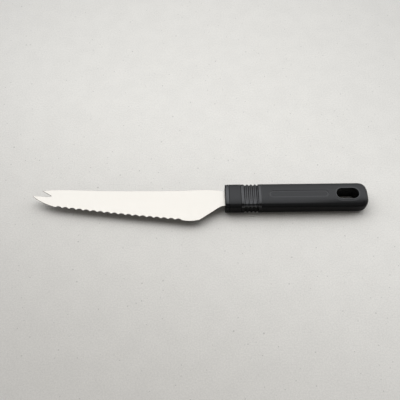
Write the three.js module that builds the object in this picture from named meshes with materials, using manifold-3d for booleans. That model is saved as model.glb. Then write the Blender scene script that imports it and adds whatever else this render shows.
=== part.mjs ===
// Hard cheese knife: a forked, scalloped blade with a flat tang, and the handle moulded round the tang.
// Sizes are in millimetres. The knife lies on its side: +X runs from the fork to the hang slot, the cutting
// edge faces -Y, and the handle's underside lies at Z = 0, under the middle of the whole knife's box.
// The pieces are drawn from the handle's front face (x = 0) and its centre line (y = 0), then moved together.
import * as THREE from 'three';
import { mergeVertices } from 'three/addons/utils/BufferGeometryUtils.js';
import Module from 'manifold-3d';

// Blade: lengths run along the knife, heights and depths are measured from the handle's centre line
const BLADE_LENGTH = 150.4;
const BLADE_THICKNESS = 1;
const SPINE_HEIGHT = 9.5;
const EDGE_DEPTH = 19.35;
const HEEL_DEPTH = 18.65;
const LAST_TOOTH_DEPTH = 18.6;
const FIRST_TOOTH_DEPTH = 5.7;
const TOOTH_LINE_BULGE = 0.75;
const NECK_WIDTH = 13.5;
const NECK_LENGTH = 3;
const NECK_FILLET = 2.2;
const CHOIL_RUN = 17.2;
const HEEL_EDGE_RUN = 13.4;
const HEEL_ROUNDING = 0.7;
const BELLY_RUN = 18.36;

// Scallops: the hollows that a small round wheel, tilted to the sheet, grinds into the underside
const SCALLOP_PITCH = 5.48;
const SCALLOP_WHEEL_RADIUS = 7.7;
const SCALLOP_DEPTH = 1.35;
const SCALLOP_GRIND = 4.5;

// Plain edge: a flat bevel on the underside that leaves a thin land at the cutting edge
const PLAIN_BEVEL = 1.6;
const PLAIN_EDGE_LAND = 0.5;

// Fork: the notch between the long prong below and the short prong above
const LONG_PRONG_HEIGHT = 4.6;
const SHORT_PRONG_HEIGHT = 8.6;
const SHORT_PRONG_SETBACK = 7.6;
const FORK_DEPTH = 14.8;
const FORK_ROOT_HEIGHT = 4;
const FORK_ROOT_RADIUS = 0.6;

// Handle
const HANDLE_LENGTH = 111.5;
const HANDLE_WIDTH = 20.7;
const HANDLE_THICKNESS = 13.3;
const FACE_FLAT_WIDTH = 7.2;
const FACE_CROWN_RADIUS = 40;
const CORNER_RADIUS = 3;
const END_RUN = 9.5;
const END_NOSE_RUN = 4;

// Front lip, smooth collar, grip rings and the step up to the body
const NOSE_RADIUS = 0.8;
const LIP_DROP = 0.08;
const LIP_LENGTH = 3.2;
const COLLAR_LENGTH = 12.3;
const CREASE_WIDTH = 0.5;
const CREASE_DEPTH = 0.25;
const RING_START = 14.3;
const RING_PITCH = 3.1;
const RING_GROOVE_COUNT = 4;
const RING_GROOVE_DEPTH = 0.9;
const STEP_RUN = 1.1;

// Hang slot and nameplate recess
const SLOT_LENGTH = 17.4;
const SLOT_WIDTH = 9;
const SLOT_END_WALL = 8;
const SLOT_RIM = 0.3;
const PLAQUE_LENGTH = 45.7;
const PLAQUE_WIDTH = 5.8;
const PLAQUE_DEPTH = 0.35;
const PLAQUE_TO_SLOT = 6.1;

// Tang inside the handle, and the plugs of plastic that lock it
const TANG_WIDTH = 12;
const TANG_SHOULDER_RUN = 4;
const TANG_TAPER_RUN = 5;
const TANG_END_WALL = 5;
const LOCK_HOLE_RADIUS = 2.5;
const CLEARANCE = 0.3;

// How far every cutter runs past the face that it cuts
const OVERRUN = 1;

// Shares along the blade from the handle, and of the spine's height: hump, waist and rise to the fork
const SPINE_SHARES = [
  [0.098, 0.837],
  [0.23, 0.79],
  [0.43, 0.795],
  [0.62, 0.85],
  [0.775, 0.955],
  [0.86, 1],
  [0.915, 0.98],
];
// Where the belly curve's control point lies, as shares of the belly's run and fall from the long prong
const BELLY_CONTROL_SHARES = [0.48, 0.7];
// Where the curve under the long prong's upper side bends, as a share of the way to its point
const PRONG_BEND_SHARE = 0.55;
// How far the grinding wheel's drawn arc reaches to each side, as a share of the scallops' pitch
const WHEEL_REACH_SHARE = 0.75;
// Places of the locking holes, as shares of the tang's length
const LOCK_HOLE_SHARES = [0.3, 0.78];
// Fullness of the handle's rear end: 2 is an ellipse, more is squarer
const END_FULLNESS = 3;

// Numbers of steps in the round stretches
const SPINE_STEPS = 44;
const BELLY_STEPS = 12;
const TOOTH_LINE_STEPS = 24;
const HEEL_STEPS = 8;
const FILLET_STEPS = 4;
const WHEEL_STEPS = 14;
const SIDE_STEPS = 2;
const CORNER_STEPS = 6;
const CROWN_STEPS = 2;
const NOSE_STEPS = 4;
const GROOVE_STEPS = 8;
const STEP_STEPS = 4;
const END_STEPS = 20;
const SLOT_STEPS = 12;
const RIM_STEPS = 3;
const HOLE_STEPS = 24;

const mid = HANDLE_THICKNESS / 2;
const sheetTop = mid + BLADE_THICKNESS / 2;
const sheetBottom = mid - BLADE_THICKNESS / 2;

const wasm = await Module();
wasm.setup();

// A solid for joining and cutting, from a closed three.js geometry
function solidOf(geometry) {
  const bare = geometry.clone();
  bare.deleteAttribute('normal');
  bare.deleteAttribute('uv');
  const merged = mergeVertices(bare);
  const vertProperties = new Float32Array(merged.attributes.position.array);
  const triVerts = new Uint32Array(merged.index.array);
  return new wasm.Manifold(new wasm.Mesh({ numProp: 3, vertProperties, triVerts }));
}

// The geometry of a finished solid, with flat facets
function geometryOf(solid) {
  const mesh = solid.getMesh();
  const geometry = new THREE.BufferGeometry();
  geometry.setAttribute('position', new THREE.BufferAttribute(mesh.vertProperties, 3));
  geometry.setIndex(new THREE.BufferAttribute(mesh.triVerts, 1));
  const facets = geometry.toNonIndexed();
  facets.computeVertexNormals();
  return facets;
}

// A flat outline, with any holes, raised from one height to another
function plate(points, holes, bottom, top) {
  const shape = new THREE.Shape(points);
  shape.holes = holes.map((hole) => new THREE.Path(hole));
  const geometry = new THREE.ExtrudeGeometry(shape, { depth: top - bottom, bevelEnabled: false });
  geometry.translate(0, 0, bottom);
  return geometry;
}

// A closed skin sewn from grids of points: rows that meet are welded, and rows drawn to a point close it
function skin(...grids) {
  const positions = [];
  for (const rows of grids) {
    for (let row = 0; row + 1 < rows.length; row += 1) {
      for (let i = 0; i + 1 < rows[row].length; i += 1) {
        const [a, b] = [rows[row][i], rows[row][i + 1]];
        const [c, d] = [rows[row + 1][i + 1], rows[row + 1][i]];
        positions.push(...[a, b, c, a, c, d].flatMap((point) => [point.x, point.y, point.z]));
      }
    }
  }
  const soup = new THREE.BufferGeometry();
  soup.setAttribute('position', new THREE.Float32BufferAttribute(positions, 3));
  const sewn = mergeVertices(soup);
  const corners = sewn.index.array;
  const kept = [];
  for (let i = 0; i < corners.length; i += 3) {
    const [a, b, c] = [corners[i], corners[i + 1], corners[i + 2]];
    if (a !== b && b !== c && c !== a) kept.push(a, b, c);
  }
  sewn.setIndex(kept);
  return sewn;
}

// Rings from one point to another, each ring closed on itself
function loft(rings, firstPole, lastPole) {
  const closed = rings.map((ring) => [...ring, ring[0]]);
  const pole = (point) => closed[0].map(() => point);
  return skin([pole(firstPole), ...closed, pole(lastPole)]);
}

// Points of a circle, anticlockwise
function circle(x, y, radius) {
  const points = [];
  for (let i = 0; i < HOLE_STEPS; i += 1) {
    const angle = (2 * Math.PI * i) / HOLE_STEPS;
    points.push(new THREE.Vector2(x + radius * Math.cos(angle), y + radius * Math.sin(angle)));
  }
  return points;
}

// Points of an outline with two straight sides and two round ends, grown by a margin all round
function stadium(startX, length, width, grow) {
  const radius = width / 2;
  const points = [];
  for (const side of [1, -1]) {
    const centre = side > 0 ? startX + length - radius : startX + radius;
    for (let i = 0; i <= SLOT_STEPS; i += 1) {
      const angle = (Math.PI * i) / SLOT_STEPS - Math.PI / 2;
      const reach = (radius + grow) * side;
      points.push(new THREE.Vector2(centre + reach * Math.cos(angle), reach * Math.sin(angle)));
    }
  }
  return points;
}

// Places that both pieces take their sizes from
const slotStart = HANDLE_LENGTH - SLOT_END_WALL - SLOT_LENGTH;
const tangLength = slotStart - TANG_END_WALL;
const lockHoles = LOCK_HOLE_SHARES.map((share) => share * tangLength);
const heelX = -NECK_LENGTH - CHOIL_RUN;
const lastToothX = heelX - HEEL_EDGE_RUN;
const firstToothX = BELLY_RUN - BLADE_LENGTH;
const scallopCount = Math.round((lastToothX - firstToothX) / SCALLOP_PITCH);
const scallopPitch = (lastToothX - firstToothX) / scallopCount;

// Upper half of the tang's outline from the neck inwards, grown by a margin; the lower half mirrors it
function tangSide(startX, grow) {
  const taperStart = TANG_SHOULDER_RUN;
  const taperEnd = TANG_SHOULDER_RUN + TANG_TAPER_RUN;
  return [
    new THREE.Vector2(startX, NECK_WIDTH / 2 + grow),
    new THREE.Vector2(taperStart, NECK_WIDTH / 2 + grow),
    new THREE.Vector2(taperEnd, TANG_WIDTH / 2 + grow),
    new THREE.Vector2(tangLength + grow, TANG_WIDTH / 2 + grow),
  ];
}

function mirrored(points) {
  return points.map((point) => new THREE.Vector2(point.x, -point.y));
}

// Height of the line through the tooth points, a shallow arc that bulges away from the spine
function toothLine(x) {
  const t = (x - firstToothX) / (lastToothX - firstToothX);
  const chord = -FIRST_TOOTH_DEPTH + (FIRST_TOOTH_DEPTH - LAST_TOOTH_DEPTH) * t;
  return chord - 4 * TOOTH_LINE_BULGE * t * (1 - t);
}

const longTip = new THREE.Vector2(-BLADE_LENGTH, LONG_PRONG_HEIGHT);
const shortTip = new THREE.Vector2(-BLADE_LENGTH + SHORT_PRONG_SETBACK, SHORT_PRONG_HEIGHT);

// Spine from the neck over the hump and along to the short prong's point
function spinePoints() {
  const knots = SPINE_SHARES.map(
    ([along, height]) => new THREE.Vector2(-along * BLADE_LENGTH, height * SPINE_HEIGHT),
  );
  const neck = new THREE.Vector2(0, NECK_WIDTH / 2);
  return new THREE.SplineCurve([neck, ...knots, shortTip]).getPoints(SPINE_STEPS);
}

// Notch: straight down to a round root that it meets smoothly, then out along the long prong
function notchPoints() {
  const root = new THREE.Vector2(-BLADE_LENGTH + FORK_DEPTH - FORK_ROOT_RADIUS, FORK_ROOT_HEIGHT);
  const toTip = shortTip.clone().sub(root);
  const startAngle = toTip.angle() - Math.acos(FORK_ROOT_RADIUS / toTip.length());
  const sweep = startAngle + Math.PI / 2;
  const points = [];
  for (let i = 0; i <= CORNER_STEPS; i += 1) {
    const angle = startAngle - (sweep * i) / CORNER_STEPS;
    const reach = new THREE.Vector2(Math.cos(angle), Math.sin(angle)).multiplyScalar(FORK_ROOT_RADIUS);
    points.push(root.clone().add(reach));
  }
  const floor = points[points.length - 1];
  const bend = new THREE.Vector2(THREE.MathUtils.lerp(floor.x, longTip.x, PRONG_BEND_SHARE), floor.y);
  const side = new THREE.QuadraticBezierCurve(floor, bend, longTip).getPoints(FILLET_STEPS);
  return [...points, ...side.slice(1)];
}

// Belly: the plain edge from the long prong's point to the first tooth
function bellyPoints() {
  const end = new THREE.Vector2(firstToothX, -FIRST_TOOTH_DEPTH);
  const [runShare, fallShare] = BELLY_CONTROL_SHARES;
  const control = new THREE.Vector2(
    THREE.MathUtils.lerp(longTip.x, end.x, runShare),
    THREE.MathUtils.lerp(longTip.y, end.y, fallShare),
  );
  return new THREE.QuadraticBezierCurve(longTip, control, end).getPoints(BELLY_STEPS);
}

function toothLinePoints() {
  const points = [];
  for (let i = 1; i <= TOOTH_LINE_STEPS; i += 1) {
    const x = THREE.MathUtils.lerp(firstToothX, lastToothX, i / TOOTH_LINE_STEPS);
    points.push(new THREE.Vector2(x, toothLine(x)));
  }
  return points;
}

// Heel: the plain edge from the last tooth over the deepest point, up to the rounded corner
function heelEdgePoints() {
  const start = new THREE.Vector2(lastToothX, -LAST_TOOTH_DEPTH);
  const end = new THREE.Vector2(heelX - HEEL_ROUNDING, -HEEL_DEPTH);
  const control = new THREE.Vector2(
    (start.x + end.x) / 2,
    -2 * EDGE_DEPTH + (LAST_TOOTH_DEPTH + HEEL_DEPTH) / 2,
  );
  return new THREE.QuadraticBezierCurve(start, control, end).getPoints(HEEL_STEPS);
}

// Choil: the rounded heel corner, the straight slope, and the fillet into the neck
function choilPoints() {
  const corner = new THREE.Vector2(heelX, -HEEL_DEPTH);
  const neck = new THREE.Vector2(-NECK_LENGTH, -NECK_WIDTH / 2);
  const slope = neck.clone().sub(corner).normalize();
  const cornerStart = new THREE.Vector2(heelX - HEEL_ROUNDING, -HEEL_DEPTH);
  const cornerEnd = corner.clone().addScaledVector(slope, HEEL_ROUNDING);
  const filletStart = neck.clone().addScaledVector(slope, -NECK_FILLET);
  const filletEnd = new THREE.Vector2(neck.x + NECK_FILLET, neck.y);
  const rounding = new THREE.QuadraticBezierCurve(cornerStart, corner, cornerEnd);
  const fillet = new THREE.QuadraticBezierCurve(filletStart, neck, filletEnd);
  return [...rounding.getPoints(FILLET_STEPS).slice(1), ...fillet.getPoints(FILLET_STEPS)];
}

// The hollow of one scallop: the wheel's round top, running down and in from the edge to the underside
function scallopCutter(x) {
  const fall = Math.atan(BLADE_THICKNESS / (SCALLOP_GRIND - SCALLOP_DEPTH));
  const half = Math.asin((WHEEL_REACH_SHARE * scallopPitch) / SCALLOP_WHEEL_RADIUS);
  const points = [];
  for (let i = 0; i <= WHEEL_STEPS; i += 1) {
    const angle = Math.PI / 2 - half + (2 * half * i) / WHEEL_STEPS;
    const across = SCALLOP_WHEEL_RADIUS * Math.cos(angle);
    const up = SCALLOP_WHEEL_RADIUS * (Math.sin(angle) - 1);
    points.push(new THREE.Vector2(across, up));
  }
  const first = points[0];
  const last = points[points.length - 1];
  points.push(new THREE.Vector2(last.x, -SCALLOP_WHEEL_RADIUS));
  points.push(new THREE.Vector2(first.x, -SCALLOP_WHEEL_RADIUS));
  const reach = SCALLOP_GRIND + OVERRUN;
  const geometry = plate(points, [], -reach, reach);
  geometry.rotateX(Math.PI / 2);
  geometry.rotateX(-fall);
  geometry.translate(x, toothLine(x) + SCALLOP_DEPTH, sheetTop);
  return solidOf(geometry);
}

// A wedge that grinds the flat bevel along a run of plain edge, a little past both ends
function bevelCutter(points) {
  const rise = BLADE_THICKNESS - PLAIN_EDGE_LAND;
  const slope = rise / PLAIN_BEVEL;
  const sections = [
    [-OVERRUN, sheetBottom + rise + OVERRUN * slope],
    [-OVERRUN, sheetBottom - OVERRUN * slope],
    [PLAIN_BEVEL + OVERRUN, sheetBottom - OVERRUN * slope],
  ];
  const rings = points.map((point, i) => {
    const before = points[Math.max(i - 1, 0)];
    const after = points[Math.min(i + 1, points.length - 1)];
    const along = after.clone().sub(before).normalize();
    return sections.map(
      ([inwards, z]) => new THREE.Vector3(point.x - along.y * inwards, point.y + along.x * inwards, z),
    );
  });
  const centreOf = (ring) =>
    ring.reduce((sum, p) => sum.add(p), new THREE.Vector3()).divideScalar(ring.length);
  return solidOf(loft(rings, centreOf(rings[0]), centreOf(rings[rings.length - 1])));
}

function makeBlade() {
  const spine = spinePoints();
  const belly = bellyPoints();
  const heel = heelEdgePoints();
  const tangTop = tangSide(0, 0).slice(1).reverse();
  const tangBottom = mirrored(tangSide(0, 0));
  const outline = [
    ...tangTop,
    ...spine,
    ...notchPoints(),
    ...belly.slice(1),
    ...toothLinePoints(),
    ...heel.slice(1),
    ...choilPoints(),
    ...tangBottom,
  ];
  const holes = lockHoles.map((x) => circle(x, 0, LOCK_HOLE_RADIUS));
  let blade = solidOf(plate(outline, holes, sheetBottom, sheetTop));
  for (let i = 0; i < scallopCount; i += 1) {
    blade = blade.subtract(scallopCutter(firstToothX + (i + 1 / 2) * scallopPitch));
  }
  blade = blade.subtract(bevelCutter(belly));
  blade = blade.subtract(bevelCutter(heel));
  return geometryOf(blade);
}

// A quarter of the handle's section from the side to the top: flat side, corner arc, crown arc, flat.
// Each point is kept as its arc's centre, radius and direction, so that the section can be inset evenly.
function quarterSection() {
  const flat = FACE_FLAT_WIDTH / 2;
  const spread = FACE_CROWN_RADIUS - CORNER_RADIUS;
  const crown = Math.asin((HANDLE_WIDTH / 2 - flat - CORNER_RADIUS) / spread);
  const crownZ = mid - FACE_CROWN_RADIUS;
  const cornerX = flat + spread * Math.sin(crown);
  const cornerZ = crownZ + spread * Math.cos(crown);
  const points = [];
  for (let i = 0; i < SIDE_STEPS; i += 1) {
    points.push({ y: cornerX, z: (cornerZ * i) / SIDE_STEPS, radius: CORNER_RADIUS, angle: 0 });
  }
  for (let i = 0; i <= CORNER_STEPS; i += 1) {
    const angle = ((Math.PI / 2 - crown) * i) / CORNER_STEPS;
    points.push({ y: cornerX, z: cornerZ, radius: CORNER_RADIUS, angle });
  }
  for (let i = 1; i <= CROWN_STEPS; i += 1) {
    const angle = Math.PI / 2 - crown + (crown * i) / CROWN_STEPS;
    points.push({ y: flat, z: crownZ, radius: FACE_CROWN_RADIUS, angle });
  }
  return points;
}

// Right half of the section from the underside's middle to the top's middle, inset evenly
function halfSection(inset) {
  const quarter = quarterSection().map((p) => [
    p.y + (p.radius - inset) * Math.cos(p.angle),
    p.z + (p.radius - inset) * Math.sin(p.angle),
  ]);
  const upper = [...quarter, [0, mid - inset]];
  const lower = upper.map(([y, z]) => [y, -z]).reverse();
  return [...lower, ...upper.slice(1)];
}

// One ring of the handle's skin: the whole section at x
function handleRing(x, inset) {
  const right = halfSection(inset);
  const left = [...right].reverse().map(([y, z]) => [-y, z]);
  return [...right, ...left.slice(1)].map(([y, z]) => new THREE.Vector3(x, y, mid + z));
}

// Front of the handle as places along it and insets: round nose, sloping lip, crease, collar, crease, rings
// and a steep step up to the body
function gripProfile() {
  const profile = [];
  for (let i = 0; i <= NOSE_STEPS; i += 1) {
    const angle = ((Math.PI / 2) * i) / NOSE_STEPS;
    profile.push([NOSE_RADIUS * (1 - Math.cos(angle)), LIP_DROP + NOSE_RADIUS * (1 - Math.sin(angle))]);
  }
  for (const x of [LIP_LENGTH, COLLAR_LENGTH]) {
    profile.push([x - CREASE_WIDTH / 2, 0]);
    profile.push([x, CREASE_DEPTH]);
    profile.push([x + CREASE_WIDTH / 2, 0]);
  }
  profile.push([RING_START, 0]);
  const steps = (RING_GROOVE_COUNT - 1 / 2) * GROOVE_STEPS;
  for (let i = 1; i <= steps; i += 1) {
    const turn = i / GROOVE_STEPS;
    const inset = (RING_GROOVE_DEPTH * (1 - Math.cos(2 * Math.PI * turn))) / 2;
    profile.push([RING_START + turn * RING_PITCH, inset]);
  }
  const lastGroove = RING_START + (steps / GROOVE_STEPS) * RING_PITCH;
  for (let i = 1; i <= STEP_STEPS; i += 1) {
    const rise = i / STEP_STEPS;
    profile.push([lastGroove + rise * STEP_RUN, (RING_GROOVE_DEPTH * (1 + Math.cos(Math.PI * rise))) / 2]);
  }
  return profile;
}

// Rear end: the half section carried round from one side to the other, along full, nearly elliptical
// curves. Seen from the side the end is an elliptical nose; the face's flat strip shrinks to its middle.
function endRows() {
  const rows = [];
  for (let i = 0; i <= END_STEPS; i += 1) {
    const angle = Math.PI / 2 - (Math.PI * i) / END_STEPS;
    const along = Math.abs(Math.cos(angle)) ** (2 / END_FULLNESS);
    const across = Math.sign(angle) * Math.abs(Math.sin(angle)) ** (2 / END_FULLNESS);
    const row = halfSection(0).map(([y, z]) => {
      const nose = Math.sqrt(Math.max(0, 1 - (z / mid) ** 2));
      const strip = Math.min(1, y / (FACE_FLAT_WIDTH / 2));
      const reach = (END_RUN - END_NOSE_RUN * (1 - nose)) * strip;
      return new THREE.Vector3(HANDLE_LENGTH - END_RUN + reach * along, y * across, mid + z);
    });
    rows.push(row);
  }
  return rows;
}

// Slot through the handle: straight walls, and a rounded rim at both faces
function slotCutter() {
  const levels = [[-OVERRUN, SLOT_RIM]];
  for (let i = 0; i <= RIM_STEPS; i += 1) {
    const angle = ((Math.PI / 2) * i) / RIM_STEPS;
    levels.push([SLOT_RIM * (1 - Math.cos(angle)), SLOT_RIM * (1 - Math.sin(angle))]);
  }
  const upper = levels.map(([z, grow]) => [HANDLE_THICKNESS - z, grow]).reverse();
  const rings = [...levels, ...upper].map(([z, grow]) =>
    stadium(slotStart, SLOT_LENGTH, SLOT_WIDTH, grow).map((p) => new THREE.Vector3(p.x, p.y, z)),
  );
  const centre = slotStart + SLOT_LENGTH / 2;
  const bottomPole = new THREE.Vector3(centre, 0, -OVERRUN);
  const topPole = new THREE.Vector3(centre, 0, HANDLE_THICKNESS + OVERRUN);
  return solidOf(loft(rings, bottomPole, topPole));
}

function plaqueCutter() {
  const start = slotStart - PLAQUE_TO_SLOT - PLAQUE_LENGTH;
  const outline = stadium(start, PLAQUE_LENGTH, PLAQUE_WIDTH, 0);
  const floor = HANDLE_THICKNESS - PLAQUE_DEPTH;
  return solidOf(plate(outline, [], floor, HANDLE_THICKNESS + OVERRUN));
}

// Space for the tang, open at the front, with a plug left standing in each locking hole
function tangCutter() {
  const top = tangSide(-OVERRUN, CLEARANCE);
  const outline = [...mirrored(top), ...top.reverse()];
  const plugs = lockHoles.map((x) => circle(x, 0, LOCK_HOLE_RADIUS - CLEARANCE));
  return solidOf(plate(outline, plugs, sheetBottom - CLEARANCE, sheetTop + CLEARANCE));
}

function makeHandle() {
  const front = gripProfile().map(([x, inset]) => handleRing(x, inset));
  const frontFace = front[0].map(() => new THREE.Vector3(0, 0, mid));
  const rear = handleRing(HANDLE_LENGTH - END_RUN, 0);
  const body = solidOf(skin([frontFace, ...front, rear], endRows()));
  return geometryOf(body.subtract(tangCutter()).subtract(slotCutter()).subtract(plaqueCutter()));
}

const satinSteel = new THREE.MeshStandardMaterial({ color: 0xe6e3dc, metalness: 1, roughness: 0.4 });
const blackPlastic = new THREE.MeshStandardMaterial({ color: 0x1c1d1f, metalness: 0, roughness: 0.55 });

const blade = new THREE.Mesh(makeBlade(), satinSteel);
blade.name = 'blade';
const handle = new THREE.Mesh(makeHandle(), blackPlastic);
handle.name = 'handle';

const knife = new THREE.Group();
knife.name = 'hard_cheese_knife';
knife.add(blade, handle);
const box = new THREE.Box3().setFromObject(knife);
const centre = box.getCenter(new THREE.Vector3());
knife.position.set(-centre.x, -centre.y, -box.min.z);
knife.updateMatrixWorld(true);

export default knife;
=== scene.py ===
"""Hard cheese knife: the looks of the forked, scalloped blade and of the handle moulded round its tang.

Shapes are drawn in millimetres from the handle's front face (x = 0), its centre line (y = 0) and its
underside (z = 0), with the blade towards -x, and are moved into the frame's place when they are sewn.
Where a curve or a grid is made, the whole number in the call says how many points or steps it has.
"""
import math

import bmesh
import bpy
import numpy as np
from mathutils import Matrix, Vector


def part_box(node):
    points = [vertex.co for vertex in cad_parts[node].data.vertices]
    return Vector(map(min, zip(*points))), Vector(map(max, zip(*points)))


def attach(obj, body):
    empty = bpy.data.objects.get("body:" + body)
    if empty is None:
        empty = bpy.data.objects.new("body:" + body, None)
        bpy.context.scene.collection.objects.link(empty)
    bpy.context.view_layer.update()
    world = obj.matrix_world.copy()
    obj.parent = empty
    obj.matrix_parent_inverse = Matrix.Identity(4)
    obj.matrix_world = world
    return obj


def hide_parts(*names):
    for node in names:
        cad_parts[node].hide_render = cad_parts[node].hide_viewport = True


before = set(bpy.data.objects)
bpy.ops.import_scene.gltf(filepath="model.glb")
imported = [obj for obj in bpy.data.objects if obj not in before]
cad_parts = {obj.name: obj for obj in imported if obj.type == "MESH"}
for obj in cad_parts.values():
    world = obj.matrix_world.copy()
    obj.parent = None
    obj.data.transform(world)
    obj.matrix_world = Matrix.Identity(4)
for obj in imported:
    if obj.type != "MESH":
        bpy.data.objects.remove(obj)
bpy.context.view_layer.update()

MM = 0.001

# Blade: lengths along the knife, heights and depths from the handle's centre line
BLADE_LENGTH = 150.4
BLADE_THICKNESS = 1
SPINE_HEIGHT = 9.5
EDGE_DEPTH = 19.35
HEEL_DEPTH = 18.65
LAST_TOOTH_DEPTH = 18.6
FIRST_TOOTH_DEPTH = 5.7
TOOTH_LINE_BULGE = 0.62
NECK_WIDTH = 13.5
NECK_LENGTH = 3
NECK_FILLET = 2.2
CHOIL_RUN = 17.2
HEEL_EDGE_RUN = 13.4
HEEL_ROUNDING = 0.7
BELLY_RUN = 18.36

# The spine's knots as shares of BLADE_LENGTH and SPINE_HEIGHT, and the control point of the belly's curve as
# shares of its run and its fall
SPINE_SHARES = [(0.098, 0.837), (0.23, 0.79), (0.43, 0.795), (0.62, 0.85), (0.775, 0.955), (0.86, 1),
                (0.915, 0.98)]
BELLY_CONTROL_SHARES = (0.3, 0.57)

# Scallops and the wheel that grinds them, the heel's bevel, and the rounding that tumbling leaves on the
# stamped edges. Where the blade runs out to a point, a rounding takes at most POINT_SHARE of its width.
SCALLOP_PITCH = 5.48
WHEEL_RADIUS = 9.3
SCALLOP_DEPTH = 1.1
SCALLOP_GRIND = 4.5
PLAIN_BEVEL = 1.6
PLAIN_EDGE_LAND = 0.5
SHARP_LAND = 0.02
TUMBLED_RADIUS = 0.1
POINT_SHARE = 0.2

# Fork
LONG_PRONG_HEIGHT = 4.6
SHORT_PRONG_HEIGHT = 8.6
SHORT_PRONG_SETBACK = 7.6
FORK_DEPTH = 14.8
FORK_ROOT_HEIGHT = 4
FORK_ROOT_RADIUS = 0.6
PRONG_BEND_SHARE = 0.55

# Handle, with the length of its rounded end and the part of it that is the nose seen from the side
HANDLE_LENGTH = 111.5
HANDLE_WIDTH = 20.7
HANDLE_THICKNESS = 13.3
FACE_FLAT_WIDTH = 3.6
FACE_CROWN_RADIUS = 40
CORNER_RADIUS = 3
END_RUN = 9.5
END_NOSE_RUN = 4
END_FULLNESS = 3

# How far the upper face falls off at the cutting edge's side, in front and at the rear, how far off the
# middle it starts to fall, and the shares of the handle's length between which the fall deepens
NEAR_FALL_FRONT = 0.5
NEAR_FALL_REAR = 1.4
NEAR_FALL_START = 3
NEAR_FALL_SHARES = (0.5, 0.88)

# Front lip, collar, grip rings and the step up to the body
NOSE_RADIUS = 0.8
LIP_DROP = 0.08
LIP_LENGTH = 3.2
COLLAR_LENGTH = 12.3
CREASE_WIDTH = 0.5
CREASE_DEPTH = 0.25
RING_START = 14.3
RING_PITCH = 3.1
RING_GROOVE_COUNT = 4
RING_GROOVE_DEPTH = 0.9
STEP_RUN = 1.1
STEP_BAND = 1.7

# Hang slot with the polished band and the shallow trench round it, and nameplate recess
SLOT_LENGTH = 17.4
SLOT_WIDTH = 9
SLOT_END_WALL = 8
SLOT_RIM = 0.3
SLOT_BAND = 0.9
MOAT_WIDTH = 1.2
MOAT_DEPTH = 0.15
PLAQUE_LENGTH = 45.7
PLAQUE_WIDTH = 5.8
PLAQUE_DEPTH = 0.35
PLAQUE_TO_SLOT = 6.1
PLAQUE_ROUNDING = 0.08

# Tang, and how closely the plastic lies round it
TANG_WIDTH = 12
TANG_SHOULDER_RUN = 4
TANG_TAPER_RUN = 5
TANG_END_WALL = 5
LOCK_HOLE_RADIUS = 2.5
LOCK_HOLE_SHARES = (0.3, 0.78)
MOULD_FIT = 0.03

# How far a cutter reaches past the face that it opens, and half the step over which a slope is taken
OVERRUN = 1
SLOPE_REACH = 0.01

# The blade's grids: steps over the ground faces, from there to the seam, and from the seam to the spine, and
# the share of the way from the edge to the seam that the ground faces may take
GRIND_STEPS = 12
FACE_STEPS = 10
BACK_STEPS = 8
GRIND_SHARE = 0.9

# Faces that meet at more than these angles, in degrees, keep a crisp line between them
BLADE_CRISP_ANGLE = 16
HANDLE_CRISP_ANGLE = 30

# What follows from the lengths above
MID = HANDLE_THICKNESS / 2
SHEET_TOP = MID + BLADE_THICKNESS / 2
SHEET_BOTTOM = MID - BLADE_THICKNESS / 2
SLOT_START = HANDLE_LENGTH - SLOT_END_WALL - SLOT_LENGTH
PLAQUE_START = SLOT_START - PLAQUE_TO_SLOT - PLAQUE_LENGTH
TANG_LENGTH = SLOT_START - TANG_END_WALL
LOCK_HOLES = [share * TANG_LENGTH for share in LOCK_HOLE_SHARES]
HEEL_X = -NECK_LENGTH - CHOIL_RUN
LAST_TOOTH_X = HEEL_X - HEEL_EDGE_RUN
FIRST_TOOTH_X = BELLY_RUN - BLADE_LENGTH
SCALLOP_COUNT = round((LAST_TOOTH_X - FIRST_TOOTH_X) / SCALLOP_PITCH)
PITCH = (LAST_TOOTH_X - FIRST_TOOTH_X) / SCALLOP_COUNT
GRIND_FALL = math.atan(BLADE_THICKNESS / (SCALLOP_GRIND - SCALLOP_DEPTH))
LONG_TIP = np.array([-BLADE_LENGTH, LONG_PRONG_HEIGHT])
SHORT_TIP = np.array([-BLADE_LENGTH + SHORT_PRONG_SETBACK, SHORT_PRONG_HEIGHT])
FORK_ROOT = np.array([-BLADE_LENGTH + FORK_DEPTH - FORK_ROOT_RADIUS, FORK_ROOT_HEIGHT])
NOTCH_END_X = FORK_ROOT[0] + FORK_ROOT_RADIUS

handle_low, handle_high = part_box("handle")
ORIGIN = np.array([handle_low.x / MM, (handle_low.y + handle_high.y) / 2 / MM, handle_low.z / MM])


# Meshes from grids of points
def grid_faces(rows, columns, first):
    """Quads between neighbouring points of a grid that is stored row after row"""
    corner = first + np.arange(rows - 1)[:, None] * columns + np.arange(columns - 1)
    quads = np.stack([corner, corner + 1, corner + columns + 1, corner + columns], axis=-1)
    return quads.reshape(-1, 4)


def sew(name, grids, weld=1e-4):
    """One closed skin from grids of points (rows, columns, 3): points that meet within the weld become one"""
    points = np.concatenate([grid.reshape(-1, 3) for grid in grids])
    faces = []
    first = 0
    for grid in grids:
        faces.append(grid_faces(grid.shape[0], grid.shape[1], first))
        first += grid.shape[0] * grid.shape[1]
    mesh = bpy.data.meshes.new(name)
    mesh.from_pydata(((points + ORIGIN) * MM).tolist(), [], np.concatenate(faces).tolist())
    work = bmesh.new()
    work.from_mesh(mesh)
    bmesh.ops.remove_doubles(work, verts=work.verts, dist=weld * MM)
    bmesh.ops.recalc_face_normals(work, faces=work.faces)
    work.to_mesh(mesh)
    work.free()
    piece = bpy.data.objects.new(name, mesh)
    bpy.context.scene.collection.objects.link(piece)
    return piece


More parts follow.
